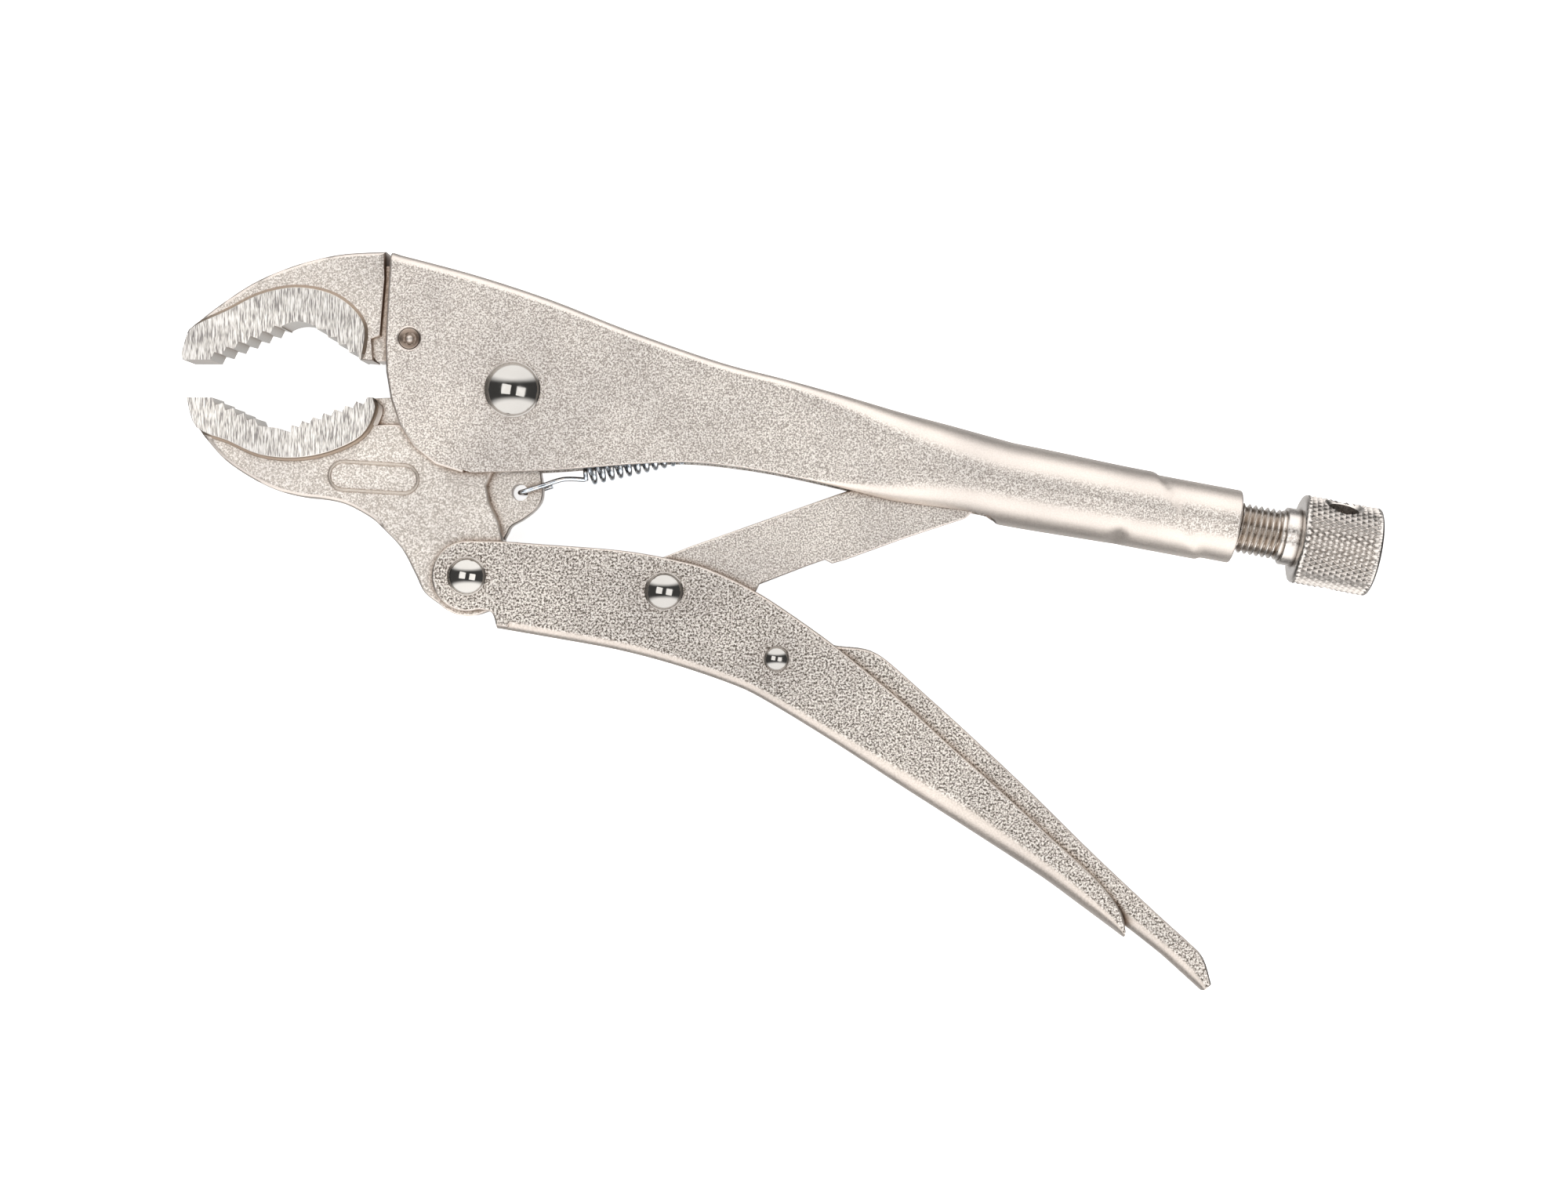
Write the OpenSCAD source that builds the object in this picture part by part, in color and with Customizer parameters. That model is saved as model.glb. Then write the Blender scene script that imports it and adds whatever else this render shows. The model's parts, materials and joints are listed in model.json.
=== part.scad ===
// Locking pliers with curved jaws, 250 mm class.
// The pliers lie flat: their plane is XY, their thickness runs along Z.
// All outlines are drawn about the main pivot and shifted to the frame's origin at the end.

/* [Body and upper handle] */
// Thickness of the body's sheet steel
body_sheet = 2.2; // [2.0:0.1:2.4]
// Width of the channel between the body's two walls
channel_w = 9; // [9:0.1:9.4]
// Largest radius of the tube that the handle is rolled into
tube_r = 8.6; // [8.4:0.1:9]
// Radius of the threaded end sleeve
sleeve_r = 7.8; // [7.4:0.1:8.2]
// Length of the threaded end sleeve
sleeve_len = 13.5; // [12:0.5:15]

/* [Jaws] */
// Thickness of the lower jaw's flank and arm, and of the toggle link
tang_w = 8.4; // [8:0.1:8.6]
// Thickness of the upper jaw's forged head
head_w = 11; // [10:0.1:12]
// Thickness across the ground grips
grip_w = 12.4; // [12:0.1:13]
// Depth of the grip's teeth
tooth_depth = 1.1; // [0.8:0.1:1.3]
// Thickness of the ear that the spring hooks into
ear_w = 5; // [4:0.5:6]
// Thickness of the lower jaw's recessed neck
neck_w = 6; // [5:0.5:7]

/* [Lower handle and release lever] */
// Thickness of the lower handle's sheet steel
handle_sheet = 1.8; // [1.6:0.1:1.9]
// Width across the release lever
lever_w = 8.4; // [8:0.1:8.6]
// Thickness of the release lever's sheet steel
lever_sheet = 1.5; // [1.2:0.1:1.6]

/* [Rivets] */
// Shank radius of the main rivet
main_rivet_r = 3.9; // [3.5:0.1:4.1]
// Shank radius of the two handle rivets
handle_rivet_r = 2.7; // [2.5:0.1:2.9]
// Shank radius of the release lever's rivet
lever_rivet_r = 1.8; // [1.6:0.1:2.0]
// Radial clearance where a part turns on a rivet
turn_gap = 0.05; // [0.02:0.01:0.08]

/* [Adjusting screw] */
// Outer radius of the screw's thread
screw_r = 5.2; // [5:0.1:5.3]
// Radius of the knurled knob
knob_r = 9.25; // [8.5:0.25:9.5]
// Length of the knurled knob
knob_len = 16.4; // [15:0.1:18]
// Radius of the knob's cross hole
cross_hole_r = 3.2; // [2.5:0.1:3.4]

/* [Return spring] */
// Radius of the spring's wire
wire_r = 0.5; // [0.4:0.05:0.55]
// Mean radius of the spring's coils
coil_r = 2; // [1.8:0.1:2.2]
// Number of coils
coil_turns = 17; // [14:1:18]

/* [Hidden] */
$fn = 64;
far = 200;

// Pivots, from the main pivot: jaw to handle, link to handle, link end, lever to handle.
P2 = [-9.4, -38.1];
P3 = [30.9, -41.2];
P4 = [99.1, -18.6];
P5 = [53.9, -55.0];
plug_at = [-21.1, 10.4];
plug_r = 2.1;
ear_hole = [1.1, -20.9];
ear_hole_r = 1.7;
tab_hole = [50, -9.5];
tab_hole_r = 1.2;
tab_w = 2;
tang_gap = 0.02;
lever_gap = 0.25;
link_gap = 0.3;

// Screw axis: it leaves the end of the handle at S0 and points away from the tool.
S0 = [148.5, -27.9];
screw_angle = -10.6;
bore_r = tube_r - body_sheet;
sleeve_bore_r = screw_r + turn_gap;
link_end_r = 3.9;
link_end_s = -50.3;
screw_tip_s = link_end_s + link_end_r + link_gap;
shank_end_s = 16.2;
knob_front_s = 12.7;
neck_front_s = 9.8;
neck_r = 5.95;
cross_hole_s = 20.9;
cross_tilt = 21;
countersink = 1.3;
knob_chamfer = 1;

body_w = channel_w + 2 * body_sheet;
handle_w = channel_w + 2 * handle_sheet;

// Dome heads: height and radius over the rivets.
main_dome = [3.0, 5.7];
handle_dome = [2.2, 3.95];
lever_dome = [1.6, 2.65];

// Extents of the whole tool about the main pivot, which place the frame's origin.
x_low = -67.6;
x_high = on_screw(knob_front_s + knob_len, knob_r - knob_chamfer)[0];
y_low = -123.4;
y_high = 28.3;
half_thick = body_w / 2 + main_dome[0];
origin = [(x_low + x_high) / 2, (y_low + y_high) / 2, -half_thick];

// ---- curves ----

// One point of a Catmull-Rom span between b and c.
function span(a, b, c, d, t) =
    0.5 * (2 * b + (c - a) * t + (2 * a - 5 * b + 4 * c - d) * t * t
    + (3 * b - a - 3 * c + d) * t * t * t);

// Smooth line through the points p, with n steps in each span.
function smooth(p, n = 4) =
    let (m = len(p) - 1)
    concat([for (i = [0:m - 1], j = [0:n - 1])
        span(p[max(i - 1, 0)], p[i], p[i + 1], p[min(i + 2, m)], j / n)], [p[m]]);

// The line p moved sideways by d, to its left as it runs.
function beside(p, d) =
    let (m = len(p) - 1)
    [for (i = [0:m])
        let (v = p[min(i + 1, m)] - p[max(i - 1, 0)])
        p[i] + d * [-v[1], v[0]] / norm(v)];

// Points of an arc about c.
function arc(c, r, a0, a1, n = 8) =
    [for (i = [0:n]) c + r * [cos(a0 + (a1 - a0) * i / n), sin(a0 + (a1 - a0) * i / n)]];

// A row of n teeth from tip a to tip b; the roots lie to the right of the row.
function teeth(a, b, n) =
    let (v = (b - a) / n, side = [v[1], -v[0]] / norm(v))
    [for (i = [0:n - 1], k = [0, 1]) a + v * (i + k * 0.5) + side * tooth_depth * k];

function reversed(p) = [for (i = [len(p) - 1:-1:0]) p[i]];

// A point at s along the screw axis and d above it.
function on_screw(s, d = 0) =
    S0 + s * [cos(screw_angle), sin(screw_angle)] + d * [-sin(screw_angle), cos(screw_angle)];

module plate(points, w) {
    linear_extrude(w, center = true) polygon(points);
}

module pin_at(p, r, w) {
    translate([p[0], p[1], 0]) cylinder(h = w, r = r, center = true);
}

module along_screw(s) {
    p = on_screw(s);
    translate([p[0], p[1], 0]) rotate([0, 0, screw_angle]) rotate([0, 90, 0]) children();
}

module in_frame() {
    translate(-origin) children();
}

// ---- body and upper handle ----

body_top = smooth([[-24.9, 28.1], [-8.6, 23.8], [7.4, 18.6], [23.4, 12.3], [42, 5.8],
                   [55, 2.4], [68.2, -1.2], [79.4, -4.4], [90, -7.1]]);
body_bottom = smooth([[90, -25.4], [77.8, -22.8], [68.2, -20.3], [55.4, -17.4], [44.2, -15.6],
                      [34.6, -14.8], [23.4, -15.3], [7.4, -16.5], [-10.2, -17.0]]);
body_front = smooth([[-10.2, -17.0], [-16.6, -14.9], [-22, -9.4], [-24.9, -2],
                     [-26, 6], [-25.7, 15.5], [-24.9, 28.1]]);

module dome(p, face_z, head) {
    h = head[0];
    r = head[1];
    ball = (r * r + h * h) / (2 * h);
    translate([p[0], p[1], face_z]) intersection() {
        translate([0, 0, h - ball]) sphere(r = ball);
        cylinder(h = h + 1, r = r);
    }
}

module rivet(p, shank_r, w, head) {
    pin_at(p, shank_r, w);
    for (side = [0, 1]) mirror([0, 0, side]) dome(p, w / 2, head);
}

module tube_outer() {
    tube_from = -66;
    translate([S0[0], S0[1], 0]) rotate([0, 0, screw_angle]) rotate([0, 90, 0]) rotate_extrude()
        polygon([[0, tube_from], [6.6, tube_from], [8.1, -58], [tube_r, -48], [8.1, -20],
                 [sleeve_r, -sleeve_len - 3], [sleeve_r, 0], [0, 0]]);
}

module fixed_handle() {
    roof = beside(body_top, -body_sheet);
    slot_end = -51;
    in_frame() color("#c9c5bd") difference() {
        union() {
            plate(concat(body_front, body_top, body_bottom), body_w);
            tube_outer();
        }
        difference() {
            plate(concat([[-60, 27]], roof, [on_screw(slot_end, 3), on_screw(slot_end, -60), [-60, -80]]),
                  channel_w);
            plate([[47, 6], [47, -8], [48.4, -11.6], [51.6, -11.6], [53, -8], [53, 6]], tab_w);
        }
        along_screw(slot_end - 12) cylinder(h = 12 - slot_end - sleeve_len, r = bore_r);
        along_screw(-sleeve_len - 1) cylinder(h = sleeve_len + 2, r = sleeve_bore_r);
        pin_at([0, 0], main_rivet_r, far);
        pin_at(plug_at, plug_r, far);
        pin_at(tab_hole, tab_hole_r, 2 * tab_w);
    }
}

// ---- jaws ----

upper_tip = [[-61.7, 6.1], [-67.4, 6.1]];
upper_back = smooth([[-67.6, 7.5], [-66.6, 11.0], [-64.6, 13.8], [-59.8, 17.6], [-53.4, 21.8],
                     [-47, 24.7], [-40.6, 26.7], [-34.2, 27.9], [-26, 28.3]]);
upper_seam = [[-26.0, 22.7], [-26.6, 15.5], [-27, 10.9], [-28.9, 10.4], [-28.6, 5.9], [-31.0, 6.1]];
upper_bite = concat(teeth([-31.3, 6.1], [-39.8, 12.2], 4), [[-39.8, 12.2], [-40.4, 13.2]],
                    arc([-43.8, 7.6], 6.3, 60, 120, 6), [[-47.2, 12.8]],
                    teeth([-47.0, 12.6], [-61.7, 6.1], 6));
upper_pad_back = smooth([[-67.6, 7.5], [-66.6, 11.0], [-64.9, 13.1], [-58.2, 16.2], [-51.8, 19.4],
                         [-44.5, 20.9], [-37.4, 19.7], [-32.6, 16.5], [-30.2, 12.3], [-31.0, 6.1]]);

module fixed_jaw() {
    in_frame() color("#b9b4ab") {
        plate(concat(upper_tip, upper_back, upper_seam, upper_bite), head_w);
        plate(concat(upper_tip, upper_pad_back, upper_bite), grip_w);
        plate([[-36, 24], [-25.6, 25.4], [-12, 21.9], [-9, 20.2], [-9, 13], [-13, 9.6], [-20, 6],
               [-28, 5.9], [-36, 14]], channel_w - 2 * tang_gap);
    }
}

module jaw_weld_plugs() {
    plug_depth = body_sheet - 0.1;
    in_frame() color("#a8a49b") for (side = [0, 1]) mirror([0, 0, side])
        translate([plug_at[0], plug_at[1], channel_w / 2]) cylinder(h = plug_depth, r = plug_r);
}

module jaw_pivot_rivet() {
    in_frame() color("#e2e2e2") rivet([0, 0], main_rivet_r, body_w, main_dome);
}

lower_tip = [[-66.6, -1.6], [-61.4, -1.6]];
lower_back = smooth([[-27, -28.2], [-29.4, -26.1], [-34.2, -23.5], [-38.8, -22.4], [-43.9, -21.8],
                     [-48.9, -20.4], [-54.0, -17.9], [-59.1, -14.4], [-62.6, -10.6],
                     [-64.6, -7.7], [-66.6, -1.6]]);
lower_bite = concat(teeth([-61.4, -1.7], [-50.5, -6.9], 5), [[-50.4, -7.6]],
                    [[-48.2, -7.8], [-46.6, -8.4], [-45.3, -8.8]],
                    teeth([-45.2, -7.2], [-29.7, -1.6], 7), [[-29.7, -1.6]]);
lower_pad_back = smooth([[-28.6, -1.6], [-28.2, -4.4], [-31.0, -9.4], [-37.4, -12.6], [-44.5, -13.9],
                         [-51.8, -13.2], [-58.2, -10.4], [-64.6, -7.7], [-66.6, -1.6]]);
boss_r = 9.2;
eye_r = 8.2;

module moving_jaw() {
    arm = concat([[-28, -6.9], [-20.5, -6.9], [-6.6, 6.4], [0, 9.1], [8.4, -3.6], [6, -9], [-4.4, -17],
                  [-5.5, -19.6], [-4.9, -22.9], [-3.0, -27], [-1.6, -33.4], [-2.4, -42]],
                 smooth([[-15.2, -44.0], [-18.4, -41.4], [-20.2, -37.8], [-23.0, -32.5],
                         [-27, -28.2], [-31, -25.2]]));
    ear = [[-8, -14], [4.6, -13], [5.3, -16.6], [5.8, -19.7], [5.6, -22.4], [4.2, -24.5], [1.8, -26.4],
           [-0.6, -27.8], [-1.4, -29.2], [-3, -32], [-8, -30]];
    neck = [[-29, -1.6], [-19, -1.2], [-6.6, 6.4], [0, 0], [-20, -10], [-29, -9]];
    in_frame() color("#b9b4ab") difference() {
        union() {
            plate(arm, tang_w);
            pin_at([0, 0], boss_r, tang_w);
            pin_at(P2, eye_r, tang_w);
            plate(ear, ear_w);
            plate(neck, neck_w);
            plate(concat([[-26, -6.9], [-26, -28.2]], lower_back, lower_tip, lower_bite,
                         [[-28.5, -1.6]]), tang_w);
            plate(concat(lower_pad_back, lower_tip, lower_bite), grip_w);
        }
        pin_at([0, 0], main_rivet_r + turn_gap, far);
        pin_at(P2, handle_rivet_r + turn_gap, far);
        pin_at(ear_hole, ear_hole_r, far);
    }
}

// ---- lower handle, link and release lever ----

handle_bottom = smooth([[-3.4, -48.8], [8.7, -50.9], [21.2, -53.2], [33, -56.3], [45.0, -60.4],
                        [51.4, -63.5], [65, -71.8], [80, -81.6], [94, -90.6], [108.2, -99.9],
                        [116, -105.6], [124.9, -112.2]]);
handle_top = smooth([[125.2, -110.6], [124.2, -106.6], [119.4, -100.3], [109.8, -91.4],
                     [99.8, -82.1], [88.7, -72.2], [79.1, -63.4], [66.3, -52.8], [55.4, -45.0],
                     [49.0, -41.0], [42.6, -37.8], [36.2, -35.5], [23.4, -33.0], [7.4, -31.7],
                     [-2.2, -31.0], P2 + [0, 7.2]]);

module moving_handle() {
    nose = concat(arc(P2, 7.2, 90, 295, 20), [[-3.4, -46.2]]);
    in_frame() color("#c9c5bd") difference() {
        plate(concat(handle_bottom, handle_top, nose), handle_w);
        plate(concat([[-60, -90], [-3.5, -90], [-3.5, -47]], beside(handle_bottom, handle_sheet),
                     [[135, -119.2], [160, -60], [90, 0], [-60, 0]]), channel_w);
        pin_at(P2, handle_rivet_r, far);
        pin_at(P3, handle_rivet_r, far);
        pin_at(P5, lever_rivet_r, far);
    }
}

module jaw_handle_rivet() {
    in_frame() color("#e2e2e2") rivet(P2, handle_rivet_r, handle_w, handle_dome);
}

module link_rivet() {
    in_frame() color("#e2e2e2") rivet(P3, handle_rivet_r, handle_w, handle_dome);
}

module lever_rivet() {
    in_frame() color("#e2e2e2") rivet(P5, lever_rivet_r, handle_w, lever_dome);
}

module toggle_link() {
    foot_r = 6.6;
    outline = concat(arc(P3, foot_r, 110, 285, 14),
                     [[44, -43.8], [49.3, -41.9], [50.3, -39.8], [60.2, -36.0], [63.9, -34.7],
                      [65.4, -35.5], [68.2, -34.7], [81.0, -30.1], [92.6, -26.3], [97.2, -22.1]],
                     arc(P4, link_end_r, -80, 100, 12),
                     [[84, -15.2], [76, -18.0], [62, -22.9], [49, -27.5], [36.2, -32.0]]);
    in_frame() color("#c2beb5") difference() {
        plate(outline, tang_w);
        pin_at(P3, handle_rivet_r + turn_gap, far);
    }
}

// The lever's bottom lies just above the floor of the lower handle's channel.
lever_floor = beside(smooth([[51.4, -63.5], [65, -71.8], [80, -81.6], [94, -90.6], [108.2, -99.9],
                             [116, -105.6], [124.9, -112.2], [132, -117.8]]), handle_sheet + lever_gap);

module release_lever() {
    nose = [[43, -52.6], [42.6, -50.4], [44, -48.9], [47, -48.9]];
    top = smooth([[143.0, -121.8], [141.4, -116.5], [138.6, -113.4], [132.2, -107.6],
                  [119.4, -95.6], [106.6, -83.0], [93.8, -70.9], [84.2, -62.2], [77.8, -56.5],
                  [74.6, -54.1], [71.4, -53.0], [66.3, -52.5], [60, -51.2], [53, -49.7]]);
    bottom = concat([[43, -52.6], [48, -58.4]], lever_floor, [[141.2, -123.4]]);
    in_frame() color("#c2beb5") difference() {
        plate(concat(bottom, top, reversed(nose)), lever_w);
        plate(concat([[30, -60]], beside(bottom, lever_sheet), [[160, -60], [60, -30], [30, -30]]),
              lever_w - 2 * lever_sheet);
        pin_at(P5, lever_rivet_r + turn_gap, far);
    }
}

// ---- adjusting screw ----

module adjusting_screw() {
    in_frame() color("#a9a9a6") along_screw(screw_tip_s) {
        tip = 1.2;
        cylinder(h = tip, r1 = screw_r - tip, r2 = screw_r);
        translate([0, 0, tip]) cylinder(h = shank_end_s - screw_tip_s - tip, r = screw_r);
    }
}

module knurled_knob() {
    chamfer = knob_chamfer;
    step = knob_front_s - neck_front_s;
    flare = knob_r - cross_hole_r;
    in_frame() color("#b5b5b2") along_screw(neck_front_s) difference() {
        rotate_extrude() polygon([[0, 0], [neck_r, 0], [neck_r, step], [knob_r - chamfer, step],
                                  [knob_r, step + chamfer], [knob_r, step + knob_len - chamfer],
                                  [knob_r - chamfer, step + knob_len], [0, step + knob_len]]);
        translate([0, 0, -1])
            cylinder(h = shank_end_s - neck_front_s + 1 + turn_gap, r = screw_r + turn_gap / 2);
        translate([0, 0, cross_hole_s - neck_front_s]) rotate([0, 0, cross_tilt]) rotate([90, 0, 0]) {
            cylinder(h = far, r = cross_hole_r, center = true);
            for (side = [0, 1]) mirror([0, 0, side]) translate([0, 0, knob_r - countersink])
                cylinder(h = flare, r1 = cross_hole_r, r2 = cross_hole_r + flare);
        }
    }
}

// ---- return spring ----

coil_from = [14.6, -17.1];
coil_angle = 13;
coil_pitch = 1.84;
rings_per_turn = 10;
wire_sides = 6;
coil_dir = [cos(coil_angle), sin(coil_angle), 0];
coil_up = [-sin(coil_angle), cos(coil_angle), 0];

// A point on the coil after the given number of turns.
function coil_at(turns) =
    [coil_from[0], coil_from[1], 0] + coil_dir * coil_pitch * turns
    + coil_up * coil_r * sin(360 * turns) + [0, 0, coil_r * cos(360 * turns)];

// The front hook runs over the ear, through its hole and back behind it.
front_hook = smooth([[7.4, -19.4, -3.1], [4.8, -20.2, -3.2], [2.4, -20.8, -3.2], [1.2, -20.9, -2.0],
                     [1.1, -20.9, 0], [1.2, -20.9, 2.0], [2.4, -20.6, 3.2], [6, -19.5, 3.3],
                     [10.2, -18.2, 2.7], coil_at(-0.1)], 2);
// The rear hook goes through the hole in the body's tab.
rear_hook = smooth([coil_at(coil_turns + 0.1), [47.6, -9.5, 1.8], [49.3, -9.5, 1.7], [50, -9.5, 0.9],
                    [50, -9.5, -0.9], [49.2, -9.6, -1.7], [47.8, -9.9, -1.8]], 2);
coil = [for (i = [0:coil_turns * rings_per_turn]) coil_at(i / rings_per_turn)];
wire_path = concat(front_hook, coil, rear_hook);

function unit(v) = v / norm(v);

// Side directions carried along the wire, so that its rings never twist.
function carried(path, i = 1, sides = []) =
    i >= len(path) ? sides :
    let (m = len(path) - 1,
         t = unit(path[min(i, m)] - path[max(i - 1, 0)]),
         last = len(sides) == 0 ? [0, 1, 0.2] : sides[len(sides) - 1],
         s = unit(last - t * (last * t)))
    carried(path, i + 1, concat(sides, [s]));

module wire(path, r) {
    n = len(path);
    sides = carried(path);
    points = [for (i = [0:n - 1], k = [0:wire_sides - 1])
        let (t = unit(path[min(i + 1, n - 1)] - path[max(i - 1, 0)]),
             s0 = sides[max(i - 1, 0)],
             s = unit(s0 - t * (s0 * t)),
             b = cross(t, s),
             a = 360 * k / wire_sides)
        path[i] + r * (s * cos(a) + b * sin(a))];
    walls = [for (i = [0:n - 2], k = [0:wire_sides - 1])
        let (k2 = (k + 1) % wire_sides)
        [i * wire_sides + k, (i + 1) * wire_sides + k, (i + 1) * wire_sides + k2, i * wire_sides + k2]];
    ends = [[for (k = [0:wire_sides - 1]) k],
            [for (k = [wire_sides - 1:-1:0]) (n - 1) * wire_sides + k]];
    polyhedron(points, concat(walls, ends), convexity = 10);
}

module return_spring() {
    in_frame() color("#aab4bd") wire(wire_path, wire_r);
}

fixed_handle();
fixed_jaw();
jaw_weld_plugs();
jaw_pivot_rivet();
moving_jaw();
moving_handle();
jaw_handle_rivet();
toggle_link();
link_rivet();
release_lever();
lever_rivet();
return_spring();
adjusting_screw();
knurled_knob();
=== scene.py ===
"""Locking pliers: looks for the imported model. Outlines are in millimetres about the main pivot."""

import bpy
import bmesh
import json
import math
from mathutils import Matrix, Vector


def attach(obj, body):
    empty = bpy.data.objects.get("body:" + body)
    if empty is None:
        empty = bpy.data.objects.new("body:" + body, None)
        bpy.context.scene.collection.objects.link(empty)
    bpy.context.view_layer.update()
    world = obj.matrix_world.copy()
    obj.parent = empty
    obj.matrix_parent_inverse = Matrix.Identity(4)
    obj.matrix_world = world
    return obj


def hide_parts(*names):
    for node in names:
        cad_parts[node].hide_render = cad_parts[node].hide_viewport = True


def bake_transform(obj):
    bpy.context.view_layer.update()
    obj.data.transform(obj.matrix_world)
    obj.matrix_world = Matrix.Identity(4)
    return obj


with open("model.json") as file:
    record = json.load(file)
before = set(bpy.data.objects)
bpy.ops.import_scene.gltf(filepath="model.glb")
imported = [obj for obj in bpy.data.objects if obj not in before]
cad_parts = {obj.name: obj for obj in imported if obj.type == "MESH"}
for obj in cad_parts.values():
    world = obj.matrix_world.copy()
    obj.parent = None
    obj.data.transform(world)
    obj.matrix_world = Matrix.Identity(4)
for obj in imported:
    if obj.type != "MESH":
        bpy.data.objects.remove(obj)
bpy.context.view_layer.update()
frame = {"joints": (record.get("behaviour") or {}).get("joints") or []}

MM = 0.001
LEAST_CHANGE = 1e-12
JOINTS = {j["name"]: j for j in frame["joints"]}
MAIN = Vector(JOINTS["jaw_pivot"]["pos_m"])

# Sheet and plate thicknesses, as in the CAD model.
BODY_SHEET = 2.2
CHANNEL_W = 9.0
BODY_HALF = CHANNEL_W / 2 + BODY_SHEET
HANDLE_SHEET = 1.8
HANDLE_HALF = CHANNEL_W / 2 + HANDLE_SHEET
ARM_HALF = 4.2
HEAD_HALF = 5.5
GRIP_HALF = 6.2
NECK_HALF = 3.0
EAR_HALF = 2.5
TANG_HALF = 4.48
TOOTH_DEPTH = 1.1
LEVER_HALF = 4.2
LEVER_SHEET = 1.5

# Rivets: shank radius, then the dome's height and radius.
MAIN_RIVET = (3.9, 3.0, 5.7)
HANDLE_RIVET = (2.7, 2.2, 3.95)
LEVER_RIVET = (1.8, 1.6, 2.65)
TURN_GAP = 0.05

PLUG = (-21.1, 10.4)
PLUG_R = 2.1
EAR_HOLE = (1.1, -20.9)
TAB_HOLE = (50.0, -9.5)

# Adjusting screw: its axis leaves the handle's end at SCREW_START.
SCREW_START = (148.5, -27.9)
SCREW_ANGLE = math.radians(-10.6)
SCREW_R = 5.2
SCREW_TIP = -46.1
SHANK_END = 16.2
THREAD_PITCH = 1.25
THREAD_DEPTH = 0.74
NECK_FRONT = 9.8
NECK_R = 5.95
KNOB_FRONT = 12.7
KNOB_LEN = 16.4
KNOB_R = 9.25
CROSS_AT = 20.9
CROSS_R = 3.2
CROSS_TILT = math.radians(21)
TUBE_R = 8.6
SLEEVE_R = 8.1
SLEEVE_LEN = 13.5

# A cutting pin this long on each side goes through every piece.
THROUGH = 20


# ---- curves and points ----

def pivot(joint):
    p = (Vector(JOINTS[joint]["pos_m"]) - MAIN) / MM
    return (p.x, p.y)


def smooth(points, n=4):
    """Catmull-Rom line through the points, with n steps in each span."""
    out = []
    last = len(points) - 1
    for i in range(last):
        a = Vector(points[max(i - 1, 0)])
        b = Vector(points[i])
        c = Vector(points[i + 1])
        d = Vector(points[min(i + 2, last)])
        for k in range(n):
            t = k / n
            p = 2 * b + (c - a) * t + (2 * a - 5 * b + 4 * c - d) * t ** 2
            out.append(0.5 * (p + (3 * b - a - 3 * c + d) * t ** 3))
    out.append(Vector(points[last]))
    return out


def beside(line, d):
    """The line moved sideways by d, to its left as it runs."""
    last = len(line) - 1
    out = []
    for i in range(last + 1):
        v = (Vector(line[min(i + 1, last)]) - Vector(line[max(i - 1, 0)])).normalized()
        out.append(Vector(line[i]) + d * Vector((-v.y, v.x)))
    return out


def arc(c, r, a0, a1, n=8):
    turn = [math.radians(a0 + (a1 - a0) * i / n) for i in range(n + 1)]
    return [Vector((c[0] + r * math.cos(a), c[1] + r * math.sin(a))) for a in turn]


def teeth(a, b, n):
    """A row of n saw teeth from tip a to tip b; the roots lie to the right of the row."""
    v = (Vector(b) - Vector(a)) / n
    side = Vector((v.y, -v.x)).normalized()
    return [Vector(a) + v * (i + k / 2) + side * TOOTH_DEPTH * k for i in range(n) for k in (0, 1)]


def on_screw(s, d=0):
    """A point at s along the screw's axis and d above it."""
    c, q = math.cos(SCREW_ANGLE), math.sin(SCREW_ANGLE)
    return Vector((SCREW_START[0] + s * c - d * q, SCREW_START[1] + s * q + d * c))


def along(line, f):
    """The point at the fraction f of the line's length."""
    lengths = [(Vector(line[i + 1]) - Vector(line[i])).length for i in range(len(line) - 1)]
    left = f * sum(lengths)
    for i, step in enumerate(lengths):
        if left <= step or i == len(lengths) - 1:
            return Vector(line[i]).lerp(Vector(line[i + 1]), left / step if step else 0)
        left -= step


def ease(x, low, high):
    t = min(max((x - low) / (high - low), 0), 1)
    return t * t * (3 - 2 * t)


# ---- meshes ----

def make(name, points, faces):
    """An object from points in millimetres about the main pivot."""
    mesh = bpy.data.meshes.new(name)
    mesh.from_pydata([MAIN + Vector(p) * MM for p in points], [], faces)
    bm = bmesh.new()
    bm.from_mesh(mesh)
    bmesh.ops.remove_doubles(bm, verts=bm.verts, dist=5e-7)
    bmesh.ops.triangulate(bm, faces=[f for f in bm.faces if len(f.verts) > 4])
    bmesh.ops.recalc_face_normals(bm, faces=bm.faces)
    bm.to_mesh(mesh)
    bm.free()
    obj = bpy.data.objects.new(name, mesh)
    bpy.context.scene.collection.objects.link(obj)
    return obj


def rings(name, loops):
    """A closed solid through loops of points, with a face over each end."""
    n = len(loops[0])
    points = [p for loop in loops for p in loop]
    faces = []
    for i in range(len(loops) - 1):
        for k in range(n):
            k2 = (k + 1) % n
            faces.append((i * n + k, i * n + k2, (i + 1) * n + k2, (i + 1) * n + k))
    faces.append(tuple(range(n)))
    faces.append(tuple((len(loops) - 1) * n + k for k in range(n)))
    return make(name, points, faces)


def solid_size(obj):
    """The volume a closed mesh holds; an open mesh stops the script."""
    bm = bmesh.new()
    bm.from_mesh(obj.data)
    open_edges = sum(len(e.link_faces) != 2 for e in bm.edges)
    volume = bm.calc_volume()
    bm.free()
    if open_edges:
        raise RuntimeError(f"{obj.name}: {open_edges} edges are not shared by exactly two faces")
    return volume


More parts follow.
